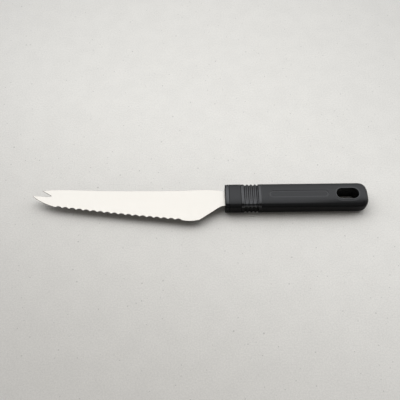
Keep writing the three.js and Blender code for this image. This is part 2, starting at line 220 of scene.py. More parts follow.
def cut(piece, cutters):
    """Takes closed cutters out of a closed piece, one after another, and removes the cutters"""
    for cutter in cutters:
        modifier = piece.modifiers.new("cut", "BOOLEAN")
        modifier.operation = "DIFFERENCE"
        modifier.solver = "MANIFOLD"
        modifier.object = cutter
        graph = bpy.context.evaluated_depsgraph_get()
        mesh = bpy.data.meshes.new_from_object(piece.evaluated_get(graph))
        piece.modifiers.clear()
        old = piece.data
        piece.data = mesh
        mesh.name = piece.name
        bpy.data.meshes.remove(old)
        bpy.data.meshes.remove(cutter.data)


def shade(piece, sharp_degrees):
    """Smooth shading that breaks where two faces meet at more than the given angle"""
    piece.data.shade_smooth()
    piece.data.set_sharp_from_angle(angle=math.radians(sharp_degrees))


def smoothstep(x, low, high):
    """0 below low, 1 above high, and t squared times (3 - 2t) between"""
    t = np.clip((x - low) / (high - low), 0, 1)
    return t * t * (3 - 2 * t)


def bezier(start, control, end, steps):
    """Quadratic curve: its three points weighted by (1 - t) squared, 2t(1 - t) and t squared"""
    t = np.linspace(0, 1, steps + 1)[:, None]
    return (1 - t) ** 2 * np.array(start) + 2 * t * (1 - t) * np.array(control) + t ** 2 * np.array(end)


def circle(x, y, radius, steps=48):
    """Points of a circle, anticlockwise"""
    angle = np.linspace(0, 2 * math.pi, steps, endpoint=False)
    return np.stack([x + radius * np.cos(angle), y + radius * np.sin(angle)], axis=-1)


def circle_arc(centre, radius, start, end, steps):
    """Points of an arc between two angles"""
    angle = np.linspace(start, end, steps + 1)
    return np.array(centre) + radius * np.stack([np.cos(angle), np.sin(angle)], axis=-1)


def tube(name, rings):
    """A closed solid from rings of points, each closed on itself"""
    return sew(name, [np.stack([np.concatenate([ring, ring[:1]]) for ring in rings])])


def capped_tube(name, rings, centre, bottom, top):
    """A tube whose ends close in fans to a point below and a point above its centre"""
    pole = np.ones((len(rings[0]), 1))
    return tube(name, [pole * (centre, 0, bottom), *rings, pole * (centre, 0, top)])


def prism(name, outline, bottom, top):
    """A closed solid between two copies of an outline, capped by fans to its middle"""
    centre = outline.mean(0)
    rings = [(centre, bottom), (outline, bottom), (outline, top), (centre, top)]
    return tube(name, [np.column_stack([np.broadcast_to(plan, outline.shape), np.full(len(outline), z)])
                       for plan, z in rings])


# Blade
def spine_curve():
    """Dense points of a uniform Catmull-Rom spline from the neck through the spine's shares to the short tip:
    each stretch is the cubic whose slope at a knot is half the step between that knot's two neighbours"""
    knots = [(0, NECK_WIDTH / 2)]
    knots += [(-along * BLADE_LENGTH, height * SPINE_HEIGHT) for along, height in SPINE_SHARES]
    knots = np.array(knots + [tuple(SHORT_TIP)])
    padded = np.concatenate([knots[:1], knots, knots[-1:]])
    t = np.linspace(0, 1, 200)[:, None]
    stretches = []
    for before, start, end, after in zip(padded, padded[1:], padded[2:], padded[3:]):
        leave = (end - before) / 2
        arrive = (after - start) / 2
        cubic = (2 * start - 2 * end + leave + arrive) * t ** 3
        square = (3 * end - 3 * start - 2 * leave - arrive) * t ** 2
        stretches.append(cubic + square + leave * t + start)
    return np.concatenate(stretches)


def tooth_line(x):
    """Height of the line through the tooth points: the chord less a parabola, TOOTH_LINE_BULGE deep"""
    t = (x - FIRST_TOOTH_X) / (LAST_TOOTH_X - FIRST_TOOTH_X)
    chord = -FIRST_TOOTH_DEPTH + (FIRST_TOOTH_DEPTH - LAST_TOOTH_DEPTH) * t
    return chord - 4 * TOOTH_LINE_BULGE * t * (1 - t)


def nearest_scallop(x):
    """Middle of the scallop nearest to x, and how far the grinding wheel's rim falls away at x, which is its
    radius less the root of radius squared minus distance squared"""
    index = np.clip(np.round((x - FIRST_TOOTH_X) / PITCH - 0.5), 0, SCALLOP_COUNT - 1)
    middle = FIRST_TOOTH_X + (index + 0.5) * PITCH
    away = np.clip(x - middle, -WHEEL_RADIUS, WHEEL_RADIUS)
    return middle, WHEEL_RADIUS - np.sqrt(WHEEL_RADIUS ** 2 - away ** 2)


def belly_curve():
    """Plain edge from the long prong's tip to the first tooth"""
    end = np.array([FIRST_TOOTH_X, -FIRST_TOOTH_DEPTH])
    run_share, fall_share = BELLY_CONTROL_SHARES
    control = LONG_TIP + (end - LONG_TIP) * (run_share, fall_share)
    return bezier(LONG_TIP, control, end, 400)


def heel_curve():
    """Plain edge from the last tooth over the deepest point to the rounded corner"""
    start = np.array([LAST_TOOTH_X, -LAST_TOOTH_DEPTH])
    end = np.array([HEEL_X - HEEL_ROUNDING, -HEEL_DEPTH])
    control = ((start[0] + end[0]) / 2, -2 * EDGE_DEPTH + (LAST_TOOTH_DEPTH + HEEL_DEPTH) / 2)
    return bezier(start, control, end, 200)


def tang_side(start=0.0, grow=0.0):
    """Upper half of the tang's outline from the neck inwards, grown by a margin"""
    taper_end = TANG_SHOULDER_RUN + TANG_TAPER_RUN
    return np.array([
        (start, NECK_WIDTH / 2 + grow),
        (TANG_SHOULDER_RUN, NECK_WIDTH / 2 + grow),
        (taper_end, TANG_WIDTH / 2 + grow),
        (TANG_LENGTH + grow, TANG_WIDTH / 2 + grow),
    ])


def choil_curve():
    """Rounded heel corner, straight slope, fillet into the neck, and the tang's lower side"""
    corner = np.array([HEEL_X, -HEEL_DEPTH])
    neck = np.array([-NECK_LENGTH, -NECK_WIDTH / 2])
    slope = (neck - corner) / np.linalg.norm(neck - corner)
    rounding = bezier(corner - (HEEL_ROUNDING, 0), corner, corner + slope * HEEL_ROUNDING, 24)
    fillet = bezier(neck - slope * NECK_FILLET, neck, neck + (NECK_FILLET, 0), 24)
    return np.concatenate([rounding, fillet, tang_side() * (1, -1)])


BELLY = belly_curve()
HEEL = heel_curve()
CHOIL = choil_curve()
SPINE = spine_curve()


def along_curve(x, *curves):
    """Heights at x of curves that run one after another along the knife"""
    points = np.concatenate(curves)
    points = points[np.argsort(points[:, 0], kind="stable")]
    return np.interp(x, points[:, 0], points[:, 1])


def lower_edge(x):
    """Lower outline: belly, scalloped edge, heel, choil and tang. In a scallop the edge stands
    SCALLOP_DEPTH above the tooth line, less the wheel's fall over the sine of its tilt"""
    teeth = np.linspace(FIRST_TOOTH_X, LAST_TOOTH_X, 400)
    plain = along_curve(x, BELLY, np.stack([teeth, tooth_line(teeth)], axis=-1), HEEL, CHOIL)
    middle, fall = nearest_scallop(x)
    hollow = tooth_line(middle) + SCALLOP_DEPTH - fall / math.sin(GRIND_FALL)
    toothed = (x > FIRST_TOOTH_X) & (x < LAST_TOOTH_X)
    return np.where(toothed, np.maximum(plain, hollow), plain)


def upper_edge(x):
    """Upper outline: spine and tang"""
    return along_curve(x, SPINE, tang_side())


def plain_slope(x):
    """Root of one plus the edge's slope squared: how much longer a height is than the distance inwards"""
    rise = (lower_edge(x + SLOPE_REACH) - lower_edge(x - SLOPE_REACH)) / (2 * SLOPE_REACH)
    return np.sqrt(1 + rise ** 2)


def underside(x, y):
    """Height of the sheet's underside: the highest of the flat sheet, the heel's bevel, which falls from the
    land at its edge, and the nearest scallop's hollow, which falls inwards and to both sides of its middle"""
    rise = BLADE_THICKNESS - PLAIN_EDGE_LAND
    inwards = (y - lower_edge(x)) / plain_slope(x)
    plain = np.where(x > LAST_TOOTH_X, rise - inwards * rise / PLAIN_BEVEL, 0)
    plain = plain * (1 - smoothstep(x, HEEL_X - HEEL_ROUNDING, HEEL_X))
    middle, fall = nearest_scallop(x)
    down = (y - tooth_line(middle) - SCALLOP_DEPTH) * math.tan(GRIND_FALL) + fall / math.cos(GRIND_FALL)
    ground = np.maximum(SHEET_BOTTOM + np.maximum(plain, 0), SHEET_TOP - down)
    return np.minimum(ground, SHEET_TOP - SHARP_LAND)


def grind_line(x):
    """Where the ground faces run out into the flat underside"""
    middle, fall = nearest_scallop(x)
    hollow = tooth_line(middle) + SCALLOP_GRIND - fall / math.sin(GRIND_FALL)
    plain = lower_edge(x) + PLAIN_BEVEL * plain_slope(x)
    toothed = (x > FIRST_TOOTH_X) & (x < LAST_TOOTH_X)
    return np.where(toothed, hollow, np.maximum(plain, hollow))


def scallop_columns(arc_steps=16, land_steps=3):
    """Places along the scalloped edge, with one at each end of each arc, where the wheel's rim meets the
    tooth line: a quadratic in the distance from the scallop's middle"""
    middles = FIRST_TOOTH_X + (np.arange(SCALLOP_COUNT) + 0.5) * PITCH
    slope = (tooth_line(middles + SLOPE_REACH) - tooth_line(middles - SLOPE_REACH)) / (2 * SLOPE_REACH)
    tilt = math.sin(GRIND_FALL)
    a = 1 + (slope * tilt) ** 2
    b = 2 * slope * tilt * (WHEEL_RADIUS - SCALLOP_DEPTH * tilt)
    c = -SCALLOP_DEPTH * tilt * (2 * WHEEL_RADIUS - SCALLOP_DEPTH * tilt)
    root = np.sqrt(b * b - 4 * a * c)
    starts = middles + (-b - root) / (2 * a)
    ends = middles + (-b + root) / (2 * a)
    columns = [np.linspace(FIRST_TOOTH_X, starts[0], land_steps + 1)[:-1]]
    for start, end, after in zip(starts, ends, [*starts[1:], LAST_TOOTH_X]):
        columns.append(np.linspace(start, end, arc_steps + 1)[:-1])
        columns.append(np.linspace(end, after, land_steps + 1)[:-1])
    return np.concatenate(columns)


def normals_of(points):
    """Unit vectors to the left of the way along a line of points"""
    way = np.gradient(points, axis=0)
    way /= np.maximum(np.linalg.norm(way, axis=1, keepdims=True), 1e-9)
    return np.stack([-way[:, 1], way[:, 0]], axis=-1)


def wall(outline, inward, radius, steps=6):
    """Side of the sheet along an outline: a quarter round at the top, an upright and a quarter round at the
    bottom. A point at angle a of a round lies radius times (1 - sin a) inside the outline and radius times
    (1 - cos a) from the face. Also gives the top line, where the face starts."""
    line = outline + inward * radius[:, None]
    foot = underside(line[:, 0], line[:, 1])
    rows = []
    for a in np.linspace(0, math.pi / 2, steps + 1):
        plan = outline + inward * (radius * (1 - math.sin(a)))[:, None]
        rows.append((plan, SHEET_TOP - radius * (1 - math.cos(a))))
    for a in np.linspace(math.pi / 2, 0, steps + 1):
        plan = outline + inward * (radius * (1 - math.sin(a)))[:, None]
        rows.append((plan, foot + radius * (1 - math.cos(a))))
    return np.stack([np.column_stack([plan, z]) for plan, z in rows]), line


def face_pair(rows):
    """Upper and lower faces of the sheet over a grid of plan points"""
    top = np.concatenate([rows, np.full(rows.shape[:2] + (1,), SHEET_TOP)], axis=-1)
    low = np.concatenate([rows, underside(rows[..., 0], rows[..., 1])[..., None]], axis=-1)
    return [top, low]


def tumbled(gap):
    """Rounding of an edge: TUMBLED_RADIUS, or less where the blade runs out to a point"""
    return np.minimum(TUMBLED_RADIUS, POINT_SHARE * np.maximum(gap, 0))


def out_of_handle(x):
    """1 in the open and 0 inside the handle, where the tang keeps its square edges"""
    return 1 - smoothstep(x, TANG_SHOULDER_RUN, TANG_SHOULDER_RUN + TANG_TAPER_RUN)


def between(start, end, steps):
    """Rows of points that go in even steps from one line of points to another"""
    return start + (end - start) * np.linspace(0, 1, steps + 1)[:, None, None]


def body_columns():
    """Places along the knife from the fork's root to the tang's end: wider and wider apart up to the first
    tooth, then set by the scallops' arcs, then even between the places where the outline turns"""
    first_step = 0.05
    reach = FIRST_TOOTH_X - NOTCH_END_X - 1
    belly = NOTCH_END_X + TUMBLED_RADIUS + np.geomspace(first_step, reach, 12) - first_step
    columns = [belly, scallop_columns(), [LAST_TOOTH_X]]
    start = LAST_TOOTH_X
    turns = [(HEEL_X - HEEL_ROUNDING, 19), (HEEL_X + HEEL_ROUNDING, 9), (-NECK_LENGTH - NECK_FILLET, 19),
             (0, 13), (TANG_SHOULDER_RUN, 4), (TANG_SHOULDER_RUN + TANG_TAPER_RUN, 4), (TANG_LENGTH, 15)]
    for end, steps in turns:
        columns.append(np.linspace(start, end, steps + 1)[1:])
        start = end
    return np.concatenate(columns)


def fork_notch():
    """The notch as two lines that meet at the root circle's innermost point: one from the short tip straight
    to the circle and round it, one on round the circle and out along the long prong's curved upper side"""
    to_tip = SHORT_TIP - FORK_ROOT
    start_angle = math.atan2(to_tip[1], to_tip[0]) - math.acos(FORK_ROOT_RADIUS / np.linalg.norm(to_tip))
    upper_arc = circle_arc(FORK_ROOT, FORK_ROOT_RADIUS, start_angle, 0, 10)
    lower_arc = circle_arc(FORK_ROOT, FORK_ROOT_RADIUS, 0, -math.pi / 2, 14)
    ease = (1 - np.cos(np.linspace(0, math.pi, 60))) / 2
    short_side = SHORT_TIP + (upper_arc[0] - SHORT_TIP) * ease[:, None]
    foot = lower_arc[-1]
    bend = (foot[0] + (LONG_TIP[0] - foot[0]) * PRONG_BEND_SHARE, foot[1])
    long_side = bezier(foot, bend, LONG_TIP, 60)
    return np.concatenate([short_side, upper_arc[1:]]), np.concatenate([lower_arc, long_side[1:]])


def make_blade():
    """The blade as two sheets of columns that share a seam from the fork's root to the tang's end: the lower
    one from the cutting edge to the seam or the long prong's upper side, the upper one from the seam or the
    short prong's lower side to the spine"""
    body_x = body_columns()
    seam = np.column_stack([body_x, np.full(body_x.shape, FORK_ROOT_HEIGHT)])

    # Walls of the notch, with the metal to the left of the way from the short tip to the long one
    short_notch, long_notch = fork_notch()
    inward = normals_of(np.concatenate([short_notch, long_notch[1:]]))
    short_gap = upper_edge(short_notch[:, 0]) - short_notch[:, 1]
    long_gap = long_notch[:, 1] - lower_edge(long_notch[:, 0])
    short_wall, short_line = wall(short_notch, inward[:len(short_notch)], tumbled(short_gap))
    long_wall, long_line = wall(long_notch, inward[len(short_notch) - 1:], tumbled(long_gap))

    # Lower sheet: its columns run from the long tip to the root, then on to the tang's end. The choil and the
    # belly are rounded, and the ground edge between them is sharp.
    tops = np.concatenate([long_line[::-1], seam])
    edge_x = np.concatenate([long_notch[::-1, 0], body_x])
    edge = np.column_stack([edge_x, lower_edge(edge_x)])
    room = tops[:, 1] - edge[:, 1]
    rounded = smoothstep(edge_x, HEEL_X - HEEL_ROUNDING, HEEL_X + HEEL_ROUNDING)
    rounded = np.maximum(rounded, smoothstep(-edge_x, -FIRST_TOOTH_X, -FIRST_TOOTH_X + PLAIN_BEVEL))
    rounded = np.minimum(rounded, POINT_SHARE * room / TUMBLED_RADIUS)
    edge_wall, edge_line = wall(edge, normals_of(edge), TUMBLED_RADIUS * rounded * out_of_handle(edge_x))
    ground = np.minimum(grind_line(edge_x), edge[:, 1] + room * GRIND_SHARE)
    grind = between(edge_line, np.column_stack([edge_x, ground]), GRIND_STEPS)
    lower = np.concatenate([grind, between(grind[-1], tops, FACE_STEPS)[1:]])

    # Upper sheet: from the short tip to the root, then the same columns
    bottoms = np.concatenate([short_line, seam])
    back_x = np.concatenate([short_notch[:, 0], body_x])
    back = np.column_stack([back_x, upper_edge(back_x)])
    gap = back[:, 1] - np.concatenate([short_notch[:, 1], seam[:, 1]])
    back_wall, back_line = wall(back, -normals_of(back), tumbled(gap) * out_of_handle(back_x))
    upper = between(bottoms, back_line, BACK_STEPS)

    faces = [*face_pair(lower), *face_pair(upper)]
    tang_end = [np.stack([top[:, -1], low[:, -1]]) for top, low in (faces[:2], faces[2:])]
    blade = sew("forked_blade", [*faces, short_wall, long_wall, edge_wall, back_wall, *tang_end])
    cut(blade, [prism("hole", circle(x, 0, LOCK_HOLE_RADIUS), SHEET_BOTTOM - OVERRUN, SHEET_TOP + OVERRUN)
                for x in LOCK_HOLES])
    shade(blade, BLADE_CRISP_ANGLE)
    return blade


# Handle
def quarter_section():
    """Section from the side's middle to the face's middle, as columns of centre y, centre z, radius and
    angle: flat side, corner arc, crown arc and flat. A point lies away from its centre, at that angle, by
    the radius less the inset."""
    flat = FACE_FLAT_WIDTH / 2
    spread = FACE_CROWN_RADIUS - CORNER_RADIUS
    crown = math.asin((HANDLE_WIDTH / 2 - flat - CORNER_RADIUS) / spread)
    crown_z = MID - FACE_CROWN_RADIUS
    corner_y = flat + spread * math.sin(crown)
    corner_z = crown_z + spread * math.cos(crown)
    quarter = math.pi / 2
    parts = [
        [(corner_y, corner_z * t, CORNER_RADIUS, 0) for t in np.linspace(0, 1, 7)[:-1]],
        [(corner_y, corner_z, CORNER_RADIUS, (quarter - crown) * t) for t in np.linspace(0, 1, 17)],
        [(flat, crown_z, FACE_CROWN_RADIUS, quarter - crown * (1 - t)) for t in np.linspace(0, 1, 11)[1:]],
        [(flat * (1 - t), crown_z, FACE_CROWN_RADIUS, quarter) for t in np.linspace(0, 1, 6)[1:]],
    ]
    return np.array(sum(parts, []))


def half_section(inset):
    """Right half of the section from the underside's middle to the face's middle, for an array of insets"""
    y0, z0, radius, angle = quarter_section().T
    reach = radius - np.asarray(inset)[..., None]
    upper = np.stack([y0 + reach * np.cos(angle), z0 + reach * np.sin(angle)], axis=-1)
    lower = upper[..., ::-1, :] * (1, -1)
    return np.concatenate([lower, upper[..., 1:, :]], axis=-2)


def near_fall(x, y):
    """How much lower the face lies on the cutting edge's side: a parabola from NEAR_FALL_START off the middle
    out to the side, deeper towards the rear end"""
    first, last = NEAR_FALL_SHARES
    fall = NEAR_FALL_FRONT + (NEAR_FALL_REAR - NEAR_FALL_FRONT) * smoothstep(x / HANDLE_LENGTH, first, last)
    return fall * np.clip((-y - NEAR_FALL_START) / (HANDLE_WIDTH / 2 - NEAR_FALL_START), 0, 1) ** 2


def rounded_off(x, y, z):
    """Points at heights z from the middle, the upper half lowered by its share of the near side's fall"""
    return np.stack([x, y, MID + z - np.maximum(0, z / MID) * near_fall(x, y)], axis=-1)


def handle_rings(x, inset):
    """Whole closed sections at an array of places x, each inset evenly"""
    right = half_section(inset)
    left = right[..., ::-1, :] * (-1, 1)
    ring = np.concatenate([right, left[..., 1:, :]], axis=-2)
    return rounded_off(np.broadcast_to(np.asarray(x)[:, None], ring.shape[:2]), ring[..., 0], ring[..., 1])


def grip_profile():
    """Front of the handle as places and insets: round nose, sloping lip, crease, collar, crease, raised
    band, grooves that are each a cosine wave, and a steep cosine step up to the body"""
    a = np.linspace(0, math.pi / 2, 9)
    nose = np.column_stack([NOSE_RADIUS * (1 - np.cos(a)), LIP_DROP + NOSE_RADIUS * (1 - np.sin(a))])
    lip_x = np.linspace(NOSE_RADIUS, LIP_LENGTH - CREASE_WIDTH / 2, 9)[1:-1]
    lip = np.column_stack([lip_x, LIP_DROP * (1 - (lip_x - NOSE_RADIUS) / (LIP_LENGTH - NOSE_RADIUS))])
    t = np.linspace(-0.5, 0.5, 11)
    dip = CREASE_DEPTH * (1 + np.cos(2 * math.pi * t)) / 2
    creases = [np.column_stack([x + CREASE_WIDTH * t, dip]) for x in (LIP_LENGTH, COLLAR_LENGTH)]
    turns = RING_GROOVE_COUNT - 0.5
    turn = np.linspace(0, turns, int(24 * turns) + 1)
    waves = np.column_stack([RING_START + turn * RING_PITCH,
                             RING_GROOVE_DEPTH * (1 - np.cos(2 * math.pi * turn)) / 2])
    s = np.linspace(0, 1, 13)[1:]
    step = np.column_stack([RING_START + turns * RING_PITCH + STEP_RUN * s,
                            RING_GROOVE_DEPTH * (1 + np.cos(math.pi * s)) / 2])
    gap_x = np.linspace(LIP_LENGTH + CREASE_WIDTH / 2, COLLAR_LENGTH - CREASE_WIDTH / 2, 14)[1:-1]
    gap = np.column_stack([gap_x, np.zeros(len(gap_x))])
    return np.concatenate([nose, lip, creases[0], gap, creases[1], waves, step])


def end_rows(steps=64):
    """Rear end: the half section carried round from one side to the other along a superellipse of power
    END_FULLNESS. Seen from the side the end is an elliptical nose, and the flat strip shrinks to its
    middle."""
    angle = np.linspace(math.pi / 2, -math.pi / 2, steps + 1)
    powers = np.abs(np.cos(angle)) ** END_FULLNESS + np.abs(np.sin(angle)) ** END_FULLNESS
    along = np.cos(angle) / powers ** (1 / END_FULLNESS)
    across = np.sin(angle) / powers ** (1 / END_FULLNESS)
    y, z = half_section(0.0).T
    nose = np.sqrt(np.maximum(0, 1 - (z / MID) ** 2))
    reach = (END_RUN - END_NOSE_RUN * (1 - nose)) * np.minimum(1, y / (FACE_FLAT_WIDTH / 2))
    x = HANDLE_LENGTH - END_RUN + along[:, None] * reach
    return rounded_off(x, across[:, None] * y, np.broadcast_to(z, x.shape))


def crown_height(y):
    """Height of an evenly crowned face at a distance y from the centre line"""
    over = np.maximum(0, np.abs(y) - FACE_FLAT_WIDTH / 2)
    return HANDLE_THICKNESS - (FACE_CROWN_RADIUS - np.sqrt(FACE_CROWN_RADIUS ** 2 - over ** 2))


def face_height(x, y):
    """Height of the upper face, which falls off towards the cutting edge's side"""
    return crown_height(y) - near_fall(x, y)


def stadium(start, length, width, grow, steps=40):
    """Outline with two straight sides and two round ends, grown by a margin all round"""
    radius = width / 2
    angle = np.linspace(-math.pi / 2, math.pi / 2, steps + 1)
    ends = []
    for side, centre in ((1, start + length - radius), (-1, start + radius)):
        reach = (radius + grow) * side
        ends.append(np.column_stack([centre + reach * np.cos(angle), reach * np.sin(angle)]))
    return np.concatenate(ends)


def slot_cutter():
    """Slot right through: at angle a of the rim's round the wall stands SLOT_RIM times (1 - sin a) wider, at
    SLOT_RIM times (1 - cos a) inside the crowned face, above and below alike"""
    levels = [(-OVERRUN, SLOT_RIM)]
    for a in np.linspace(0, math.pi / 2, 10):
        levels.append((SLOT_RIM * (1 - math.cos(a)), SLOT_RIM * (1 - math.sin(a))))
    rings = []
    for depth, grow in levels:
        plan = stadium(SLOT_START, SLOT_LENGTH, SLOT_WIDTH, grow)
        rings.append(np.column_stack([plan, HANDLE_THICKNESS - crown_height(plan[:, 1]) + depth]))
    for depth, grow in reversed(levels):
        plan = stadium(SLOT_START, SLOT_LENGTH, SLOT_WIDTH, grow)
        rings.append(np.column_stack([plan, face_height(*plan.T) - depth]))
    return capped_tube("slot", rings, SLOT_START + SLOT_LENGTH / 2, -OVERRUN, HANDLE_THICKNESS + OVERRUN)


def moat_cutter():
    """Shallow trench round the slot's polished band, steep beside the band and gentle on its outer side: four
    corners of a section, given as growth of the slot's outline and depth from the face, carried round it"""
    corners = [(SLOT_BAND, 0), (SLOT_BAND + MOAT_DEPTH, MOAT_DEPTH), (SLOT_BAND + MOAT_WIDTH, 0),
               (SLOT_BAND + MOAT_WIDTH, -OVERRUN), (SLOT_BAND, -OVERRUN), (SLOT_BAND, 0)]
    rows = []
    for grow, depth in corners:
        plan = stadium(SLOT_START, SLOT_LENGTH, SLOT_WIDTH, grow)
        ring = np.column_stack([plan, face_height(*plan.T) - depth])
        rows.append(np.concatenate([ring, ring[:1]]))
    return sew("moat", [np.stack(rows)])


def plaque_cutter():
    """Shallow recess with a small fillet at its floor and a small round at its rim: at angle a the outline
    stands PLAQUE_ROUNDING times (1 - sin a) inside the wall at the floor and as much outside it at the rim"""
    floor = HANDLE_THICKNESS - PLAQUE_DEPTH
    radius = PLAQUE_ROUNDING
    levels = [(floor, -radius)]
    for a in np.linspace(0, math.pi / 2, 5)[1:]:
        levels.append((floor + radius * (1 - math.cos(a)), -radius * (1 - math.sin(a))))
    for a in np.linspace(math.pi / 2, 0, 5):
        levels.append((HANDLE_THICKNESS - radius * (1 - math.cos(a)), radius * (1 - math.sin(a))))
    levels.append((HANDLE_THICKNESS + OVERRUN, radius))
    rings = []
    for z, grow in levels:
        plan = stadium(PLAQUE_START, PLAQUE_LENGTH, PLAQUE_WIDTH, grow)
        rings.append(np.column_stack([plan, np.full(len(plan), z)]))
    centre = PLAQUE_START + PLAQUE_LENGTH / 2
    return capped_tube("recess", rings, centre, floor, HANDLE_THICKNESS + OVERRUN)


def tang_cutter():
    """Space for the tang, with a plug left standing in each locking hole"""
    top = tang_side(-OVERRUN, MOULD_FIT)
    outline = np.concatenate([top * (1, -1), top[::-1]])
    space = prism("space", outline, SHEET_BOTTOM - MOULD_FIT, SHEET_TOP + MOULD_FIT)
    cut(space, [prism("plug", circle(x, 0, LOCK_HOLE_RADIUS - MOULD_FIT), 0, HANDLE_THICKNESS)
                for x in LOCK_HOLES])
    return space


def make_handle():
    """The handle's skin from the front face over the grip to the rear end, with its spaces cut out"""
    x, inset = grip_profile().T
    body_x = np.linspace(x[-1], HANDLE_LENGTH - END_RUN, 110)[1:]
    rings = handle_rings(np.concatenate([x, body_x]), np.concatenate([inset, np.zeros(len(body_x))]))
    front = np.ones((1, rings.shape[1], 1)) * (0, 0, MID)
    handle = sew("moulded_handle", [np.concatenate([front, rings]), end_rows()])
    cut(handle, [tang_cutter(), slot_cutter(), moat_cutter(), plaque_cutter()])
    shade(handle, HANDLE_CRISP_ANGLE)
    return handle


# Materials
class Tree:
    """A short way to write shader nodes: values and sockets are given where a node is made"""

    def __init__(self, owner):
        self.tree = owner.node_tree

    def node(self, kind, inputs=(), **settings):
        made = self.tree.nodes.new(kind)
        for key, value in settings.items():
            setattr(made, key, value)
        for key, value in dict(inputs).items():
            self.feed(made.inputs[key], value)
        return made

    def feed(self, socket, value):
        if isinstance(value, bpy.types.NodeSocket):
            self.tree.links.new(value, socket)
        else:
            socket.default_value = value

    def math(self, operation, first, *others):
        """Applies an operation to the first value and each of the others in turn"""
        for other in others:
            first = self.node("ShaderNodeMath", {0: first, 1: other}, operation=operation).outputs[0]
        return first

    def size(self, value):
        """A value without its sign"""
        return self.node("ShaderNodeMath", {0: value}, operation="ABSOLUTE").outputs[0]

    def parts(self, vector):
        """X, Y and Z of a vector"""
        parts = self.node("ShaderNodeSeparateXYZ", {0: vector}).outputs
        return parts["X"], parts["Y"], parts["Z"]

    def smooth(self, value, low, high, to_low=0.0, to_high=1.0):
        """Follows value from to_low at low to to_high at high, easing at both ends"""
        inputs = {0: value, 1: low, 2: high, 3: to_low, 4: to_high}
        return self.node("ShaderNodeMapRange", inputs, interpolation_type="SMOOTHSTEP").outputs[0]

    def band(self, value, start, full, last, end):
        """0 up to start, 1 from full to last and 0 again from end, easing between"""
        return self.math("MULTIPLY", self.smooth(value, start, full), self.smooth(value, last, end, 1, 0))

    def mix(self, share, first, second):
        """Colour that goes from the first to the second as share goes from 0 to 1"""
        first, second = [(*colour, 1) if isinstance(colour, tuple) else colour for colour in (first, second)]
        return self.node("ShaderNodeMix", {0: share, 6: first, 7: second}, data_type="RGBA").outputs[2]

    def outside(self, x, y, start, length, width):
        """How far a place lies outside an outline with round ends: its distance from the middle line's
        straight part, less half the width"""
        along = self.size(self.math("SUBTRACT", x, start + length / 2))
        past = self.math("MAXIMUM", self.math("SUBTRACT", along, (length - width) / 2), 0.0)
        squares = self.math("ADD", self.math("MULTIPLY", past, past), self.math("MULTIPLY", y, y))
        distance = self.node("ShaderNodeMath", {0: squares}, operation="SQRT").outputs[0]
        return self.math("SUBTRACT", distance, width / 2)

    def noise(self, vector, scale, detail=2.0, roughness=0.5):
        inputs = {"Vector": vector, "Scale": scale, "Detail": detail, "Roughness": roughness}
        return self.node("ShaderNodeTexNoise", inputs).outputs[0]

    def relief(self, height, strength, depth):
        """Normal of a surface with bumps that are as deep as the given millimetres at full strength"""
        inputs = {"Height": height, "Strength": strength, "Distance": depth * MM}
        return self.node("ShaderNodeBump", inputs).outputs[0]


def new_material(name):
    material = bpy.data.materials.new(name)
    material.use_nodes = True
    return material, Tree(material), material.node_tree.nodes["Principled BSDF"]


def drawing_place(tree):
    """Place on the piece in drawing millimetres"""
    place = tree.node("ShaderNodeTexCoord").outputs["Object"]
    inputs = {"Vector": place, "Scale": (1 / MM,) * 3, "Location": tuple(-ORIGIN)}
    return tree.node("ShaderNodeMapping", inputs).outputs[0]


def upright(tree, wall_below, level_above):
    """1 on walls and 0 on level surfaces, whose normals have an upward part below the one value or above
    the other"""
    normal = tree.node("ShaderNodeNewGeometry").outputs["Normal"]
    upward = tree.size(tree.parts(normal)[2])
    return tree.smooth(upward, wall_below, level_above, 1, 0)


# Steel: the sheet's two tones, the painted shade on its upright walls, for the shaded floor that they mirror,
# the normals that mark these shear-cut walls and how much rougher they are, and the grain, which is drawn
# out across the blade, with its depth in mm
SHEET_TONES = ((0.486, 0.47, 0.442), (0.498, 0.482, 0.453))
WALL_PAINTED_SHADE = (0.2, 0.175, 0.15)
SHEARED_AND_SHADED_NORMALS = (0.3, 0.7)
SHEET_ROUGHNESS = (0.3, 0.38)
SHEARED_ROUGHER = 0.12
TONE_SCALE = 0.05
GRAIN_SCALE = 6
GRAIN_STRETCH = (1, 0.02, 1)
GRAIN_STRENGTH = 0.22
GRAIN_DEPTH = 0.002


def satin_steel():
    """Stainless sheet with a faint grain across the blade, rougher on its shear-cut walls, which also carry
    painted shade
    """
    material, tree, shader = new_material("satin_steel")
    place = drawing_place(tree)
    across = tree.node("ShaderNodeMapping", {"Vector": place, "Scale": GRAIN_STRETCH}).outputs[0]
    grain = tree.noise(across, GRAIN_SCALE, 3, 0.6)
    sheared_and_shaded = upright(tree, *SHEARED_AND_SHADED_NORMALS)
    sheet = tree.mix(tree.noise(place, TONE_SCALE), *SHEET_TONES)
    satin = tree.smooth(grain, 0.25, 0.75, *SHEET_ROUGHNESS)
    rougher = tree.math("MULTIPLY", sheared_and_shaded, SHEARED_ROUGHER)
    shader.inputs["Metallic"].default_value = 1
    # Painted shade: the upright walls take a darker colour, for the shaded floor that they mirror
    tree.feed(shader.inputs["Base Color"], tree.mix(sheared_and_shaded, sheet, WALL_PAINTED_SHADE))
    tree.feed(shader.inputs["Roughness"], tree.math("ADD", satin, rougher))
    tree.feed(shader.inputs["Normal"], tree.relief(grain, GRAIN_STRENGTH, GRAIN_DEPTH))
    return material


# Plastic: its two tones and its tint where it shines, the roughness of its texture and of its polished parts,
# and its gloss where it is textured, what polish adds to it, and where it is dull
PLASTIC_TONES = ((0.0066, 0.0069, 0.0074), (0.0074, 0.0077, 0.0082))
PLASTIC_TINT = (0.94, 0.96, 1, 1)
TEXTURE_ROUGHNESS = (0.35, 0.38)
POLISH_ROUGHNESS = 0.15
TEXTURE_GLOSS = 0.4
POLISH_GLOSS = 0.22
DULL_GLOSS = 0.05
TEXTURE_SCALE = 4
TEXTURE_STRENGTH = 0.25
TEXTURE_DEPTH = 0.01
MOTTLE_SCALE = 0.25

